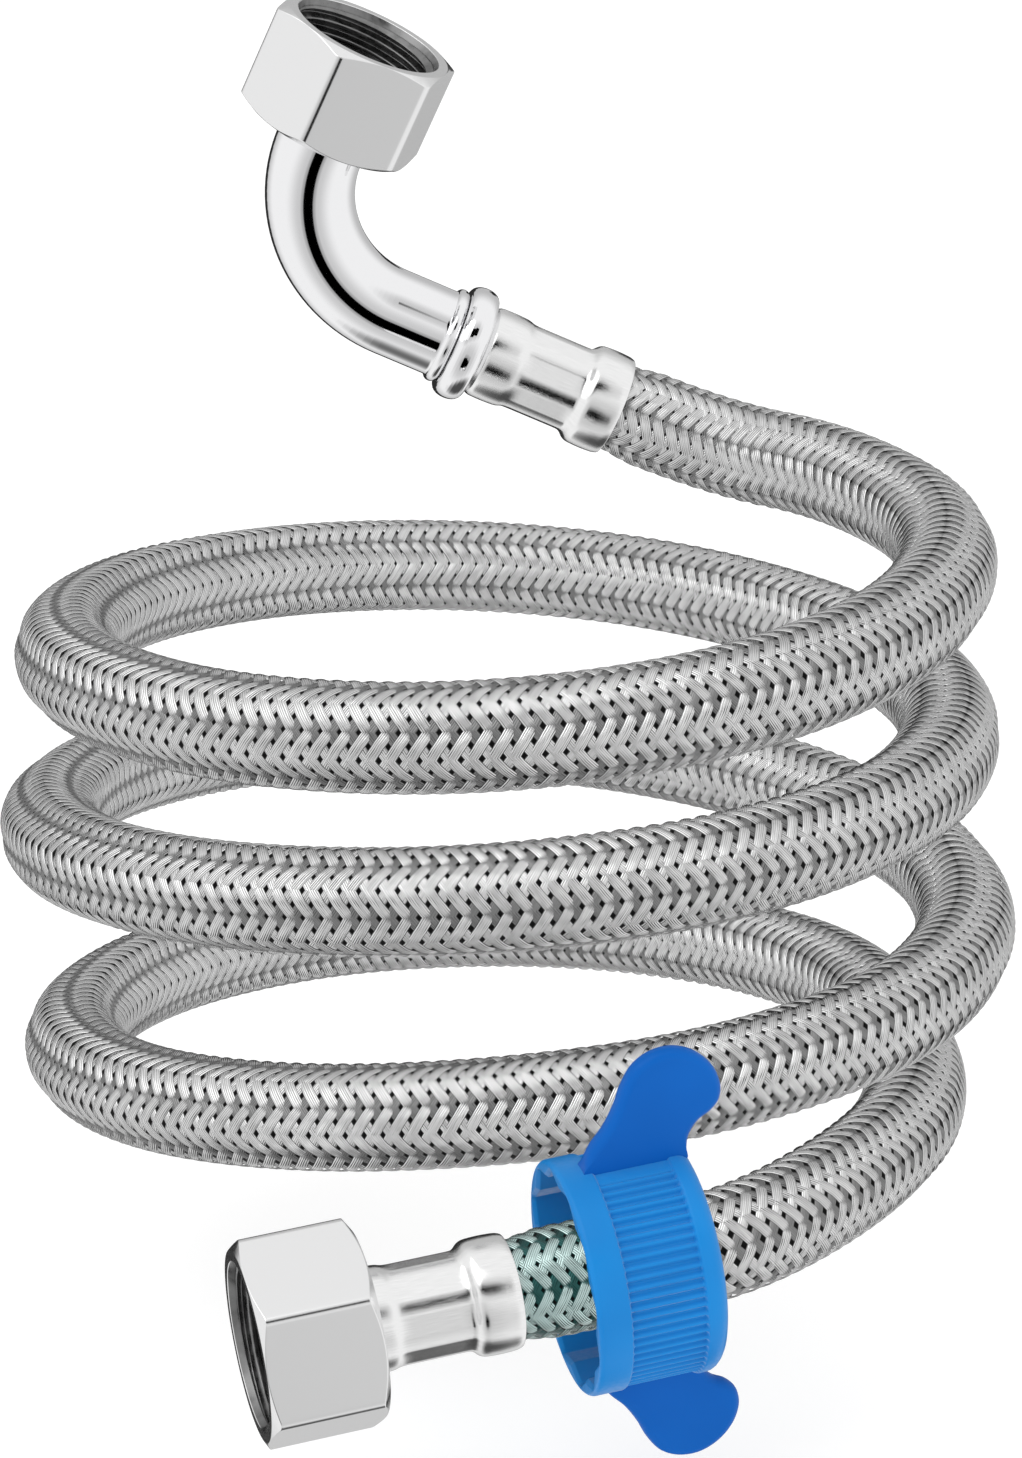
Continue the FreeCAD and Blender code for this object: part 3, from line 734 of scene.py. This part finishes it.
def spanner_ring():
    """Ring with its twelve-point socket and a ribbed band, plain beside the wings."""
    angles = full_circle(RIBS * POINTS_PER_RIB)
    socket = star_radius(angles, -WING_LEAN - STRAIGHT_SPIN)
    wave = 0.5 + 0.5 * np.cos(angles * RIBS)
    wave = wave * wave * (3 - 2 * wave)
    from_wing = np.abs((angles + math.pi / 2) % math.pi - math.pi / 2)
    grip = np.clip((from_wing - math.radians(13)) / math.radians(1.0), 0, 1)
    valley = SPANNER_R - RIB_HEIGHT * (1 + 1.5 * (1 - wave) * grip)
    low, high = FRONT_RIM, SPANNER_LENGTH - BACK_RIM
    profile = eased([
        (socket, 0.5, 0.1), (np.minimum(socket + 0.5, 14.35), 0, 0.1), (SPANNER_R - 0.35, 0, 0.2),
        (SPANNER_R, 0.45, 0.25), (SPANNER_R, low, 0.2), (valley, low + 0.25, 0.15),
        (valley, high - 0.25, 0.15), (SPANNER_R, high, 0.2), (SPANNER_R, SPANNER_LENGTH - 1.2, 0.8),
        (SPANNER_R - 1.3, SPANNER_LENGTH, 0.8),
        (SPANNER_BORE_R + 0.4, SPANNER_LENGTH, 0.2), (SPANNER_BORE_R, SPANNER_LENGTH - 0.4, 0.2),
        (SPANNER_BORE_R, SOCKET_LENGTH + 0.3, 0.2), (SPANNER_BORE_R + 0.3, SOCKET_LENGTH, 0.2),
        (socket, SOCKET_LENGTH, 0.2)])
    grid = placed(turned(profile, angles), spanner_at, straight_in, WING_LEAN)
    return finished(grid_object("spanner_ring", grid, wrap_rows=True), "wing_spanner", "blue_plastic",
                    RING_BLUE, "wing_spanner")


def closed_smooth(points, per_side=10):
    """Smooth closed outline through these points."""
    points = np.asarray(points, float)
    count = len(points)
    out = []
    for i in range(count):
        near = [points[(i + k) % count] for k in (-1, 0, 1, 2)]
        out += [catmull_rom(*near, f) for f in np.arange(per_side) / per_side]
    return np.array(out)


def wing(name, side):
    """A paddle with rounded edges, its hook towards the hose."""
    root = SPANNER_R - 0.9
    outline = closed_smooth(WING_OUTLINE[1:-1] + [(root, 16.2), (root, 12.0), (root, 8.0), (root, 3.4)])
    ahead = np.roll(outline, -1, 0) - np.roll(outline, 1, 0)
    ahead /= np.linalg.norm(ahead, axis=1, keepdims=True)
    inward = np.stack([-ahead[:, 1], ahead[:, 0]], -1)
    half = WING_THICKNESS / 2
    clear_of_ring = np.clip((outline[:, :1] - SPANNER_R - 0.2) / 2.0, 0, 1)
    rings = [(WING_EASE * (1 - math.cos(t)), half - WING_EASE * (1 - math.sin(t)))
             for t in np.radians([90, 68, 45, 22, 0])]
    rings += [(inset, -height) for inset, height in rings[::-1]]
    grid = []
    for inset, height in rings:
        edge = outline + inward * (inset * clear_of_ring)
        grid.append(np.stack([edge[:, 0] * side, np.full(len(edge), height), edge[:, 1]], -1))
    grid = placed(np.array(grid), spanner_at, straight_in, WING_LEAN)
    piece = mesh_object(name, grid.reshape(-1, 3), *capped(grid))
    flat_shading(piece)
    return finished(piece, "wing_spanner", "blue_plastic", WING_BLUE, "wing_spanner")


# ---- build -------------------------------------------------------------------------
core, core_path = core_tube()
finished(core, "hose", "rubber_hose", CORE, "braid_sleeve", "inner_tube")
half = CARRIERS // 2
plaits = [plait("plait_right_a", 1, range(half // 2)), plait("plait_right_b", 1, range(half // 2, half)),
          plait("plait_left_a", -1, range(half // 2)), plait("plait_left_b", -1, range(half // 2, half))]

elbow()
elbow_collar()
ferrule("ferrule_elbow_end", "elbow_ferrule", elbow_head, elbow_out, ELBOW_CRIMP)
ferrule_straight = ferrule("ferrule_straight_end", "straight_ferrule", straight_head, straight_in,
                           STRAIGHT_CRIMP)
nut("nut_elbow_end", "elbow_nut", "elbow_nut", Vector((0, 0, 0)), elbow_up, ELBOW_SPIN)
nut_straight = nut("nut_straight_end", "straight_nut", "straight_nut", straight_seat, straight_out,
                   STRAIGHT_SPIN)
spanner = [spanner_ring(), wing("spanner_wing_upper", 1), wing("spanner_wing_lower", -1)]
for piece in (core, *plaits, *spanner):         # keeps the steel's reflections plain
    piece.visible_glossy = False

for node, look in (("elbow_gasket", WASHER), ("straight_gasket", WASHER), ("straight_insert", POLISHED)):
    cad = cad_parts[node]
    cad = cad if isinstance(cad, bpy.types.Object) else bpy.data.objects[cad]
    for slot in cad.material_slots:
        slot.material = look

# ---- floor, light and camera -------------------------------------------------------
floor_z = cad_low[2] - FLOOR_DROP
bpy.ops.mesh.primitive_grid_add(x_subdivisions=2, y_subdivisions=2, size=6, location=(0, 0, floor_z))
floor = bpy.context.object
floor.name = "floor"
pale, _, shader = material("pale_floor", (0.45, 0.45, 0.45), 0.0, Roughness=0.9)
shader.inputs["Specular IOR Level"].default_value = 0.0
shader.inputs["Emission Color"].default_value = (1, 1, 1, 1)
shader.inputs["Emission Strength"].default_value = 0.66
floor.data.materials.append(pale)
floor.visible_glossy = False


def sky(azimuth, elevation):
    """Unit vector; azimuth 0 is towards the camera's side (-Y), positive to the right."""
    a, e = math.radians(azimuth), math.radians(elevation)
    return Vector((math.sin(a) * math.cos(e), -math.cos(a) * math.cos(e), math.sin(e)))


def distance_to_bar(graph, place, start, end):
    """Distance from place to the straight line between two points."""
    run = end - start
    from_start = graph.vector("SUBTRACT", place, tuple(start))
    along = graph.vector("DOT_PRODUCT", from_start, tuple(run), out="Value")
    share = graph.math("DIVIDE", along, run.dot(run), clamp=True)
    reach = graph.new("ShaderNodeVectorMath", operation="SCALE")
    reach.inputs[0].default_value = run
    graph.feed(reach.inputs["Scale"], share)
    foot = graph.vector("ADD", reach.outputs[0], tuple(start))
    return graph.vector("DISTANCE", place, foot, out="Value")


def studio():
    """Soft white room; what shines also sees two black screens, a dark wall and a dark floor.

    The screens are on the near side and the wall is on the far side, a little to the left.
    Narrow dark bands, far side too, draw thin outlines along the bright tubes.
    """
    world = bpy.data.worlds.new("studio")
    world.use_nodes = True
    bpy.context.scene.world = world
    g = Graph(world.node_tree)
    way = place_of(g, "Generated")
    ahead = g.vector("DISTANCE", way, tuple(sky(-3, -27.5)), out="Value")
    above = distance_to_bar(g, way, sky(-20, 34), sky(20, 35))
    behind = g.vector("DISTANCE", way, tuple(sky(-165, -10)), out="Value")
    far = g.vector("DOT_PRODUCT", way, (0.0, 1.0, 0.0), out="Value")
    low = g.vector("DOT_PRODUCT", way, tuple(sky(180, -84)), out="Value")
    grey = g.math("MINIMUM", g.spread(ahead, 0.35, 1.0, 0.66, 1.0), g.spread(ahead, 0.22, 0.5, 0.4, 1.0))
    grey = g.math("MINIMUM", grey, g.spread(above, 0.14, 0.5, 0.66, 1.0))
    grey = g.math("MULTIPLY", grey, g.spread(low, 0.84, 0.98, 1.0, 0.08))
    screens = g.math("MULTIPLY", g.spread(ahead, 0.185, 0.225), g.spread(above, 0.135, 0.16))
    right = distance_to_bar(g, way, sky(178, -16), sky(146, -34))
    top = distance_to_bar(g, way, sky(178, -14), sky(163, 14))
    rim = g.spread(g.math("MINIMUM", right, top), 0.05, 0.09, 0.05, 1.0)
    room = g.math("MULTIPLY", g.spread(far, 0.3, 0.9, 1.0, 0.55), g.spread(behind, 0.38, 0.46, 0.05, 1.0))
    shine = g.math("MULTIPLY", g.math("MULTIPLY", grey, screens), g.math("MULTIPLY", room, rim))
    path = g.new("ShaderNodeLightPath")
    level = g.new("ShaderNodeMix", data_type="FLOAT")
    g.feed(level.inputs[0], path.outputs["Is Glossy Ray"])
    level.inputs[2].default_value = 1.0
    g.feed(level.inputs[3], shine)
    back = g.new("ShaderNodeBackground", {"Strength": level.outputs[0]})
    back.inputs["Color"].default_value = (1, 1, 1, 1)
    out = g.new("ShaderNodeOutputWorld")
    world.node_tree.links.new(back.outputs[0], out.inputs["Surface"])


studio()

key = bpy.data.lights.new("key", "AREA")
key.shape, key.energy = "RECTANGLE", KEY_POWER
key.size, key.size_y = KEY_SIZE
key_holder = bpy.data.objects.new("key", key)
key_holder.location = KEY_AT
key_holder.rotation_euler = (KEY_AIM - KEY_AT).to_track_quat("-Z", "Y").to_euler()
bpy.context.scene.collection.objects.link(key_holder)

eye = bpy.data.cameras.new("camera")
eye.sensor_fit, eye.sensor_width, eye.lens = "AUTO", 36.0, CAMERA_LENS
camera = bpy.data.objects.new("camera", eye)
camera.location = (CAMERA_AT - seat) * MM
camera.rotation_euler = (CAMERA_TILT, 0, 0)
eye.clip_start, eye.clip_end = 0.01, 20
bpy.context.scene.collection.objects.link(camera)
bpy.context.scene.camera = camera
bpy.context.scene.view_settings.view_transform = "Standard"
